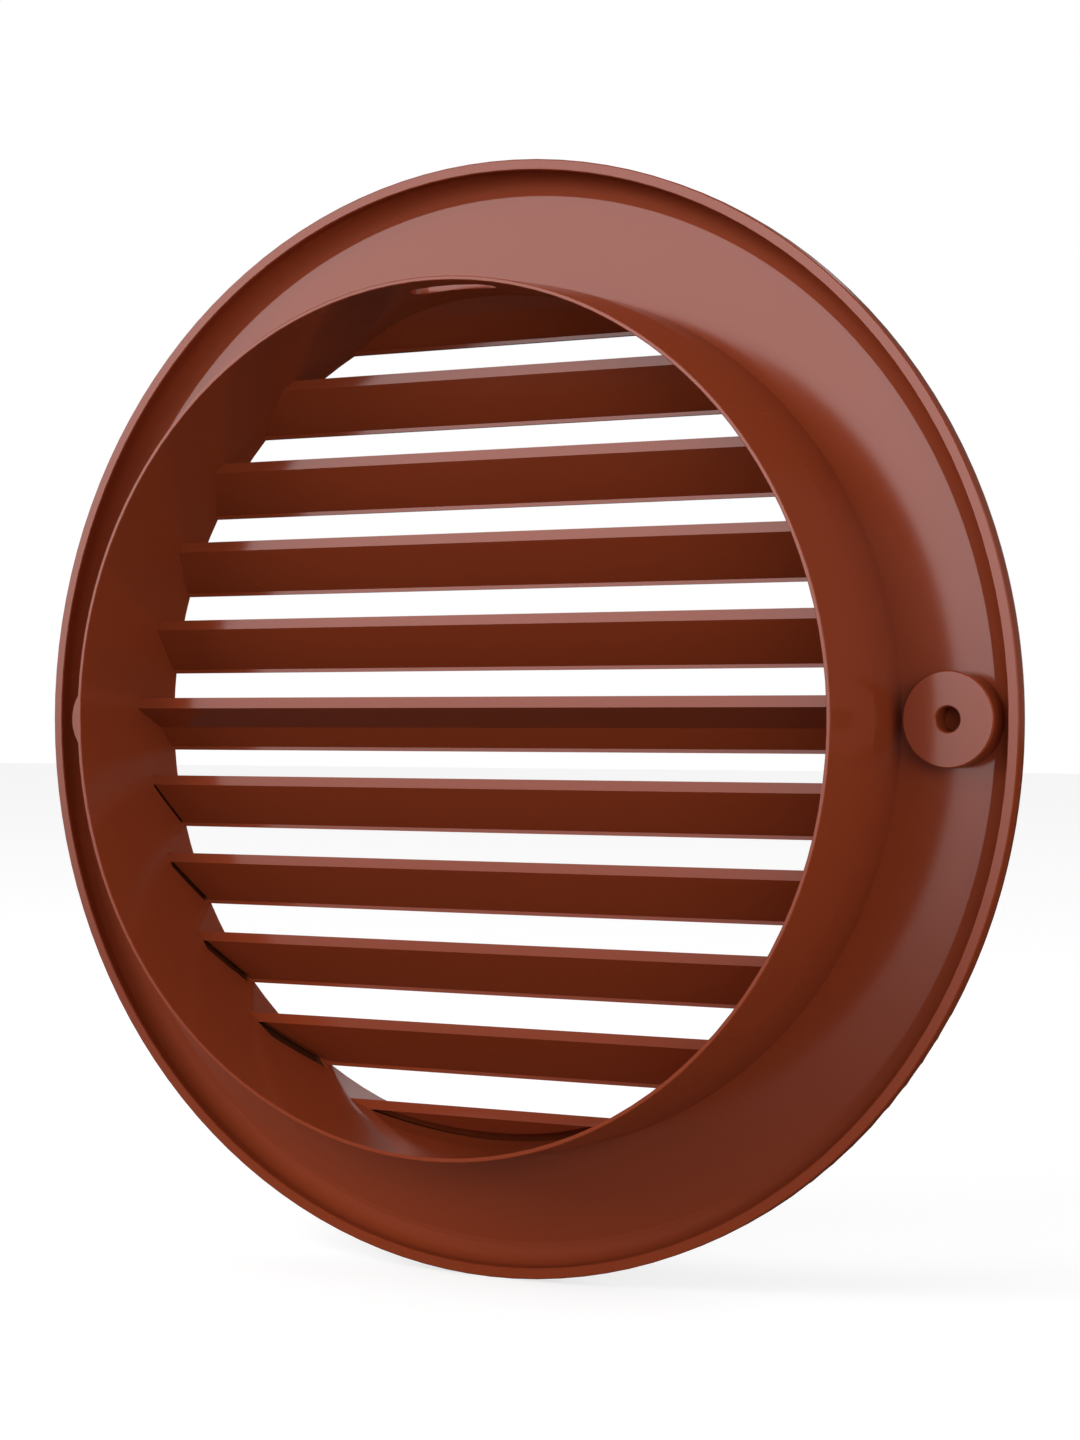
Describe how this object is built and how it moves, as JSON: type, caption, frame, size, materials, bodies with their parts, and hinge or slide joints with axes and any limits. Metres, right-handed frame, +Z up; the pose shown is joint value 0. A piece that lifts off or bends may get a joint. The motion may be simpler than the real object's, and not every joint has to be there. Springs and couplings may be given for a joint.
{
  "type": "round vent grille",
  "caption": "Round one-piece louvred vent grille with a stand-off rim flange and a short spigot that pushes into a round duct.",
  "frame": {"origin": "centre of the rim's back face, the plane that lies on the wall", "axes": "+Y along the spigot into the duct, the louvred front faces -Y, +Z up"},
  "size_m": [0.13, 0.0187, 0.13],
  "materials": {
    "moulded_plastic": "glossy brick brown"
  },
  "bodies": {
    "root": {"grille_body": "moulded_plastic"}
  },
  "joints": []
}
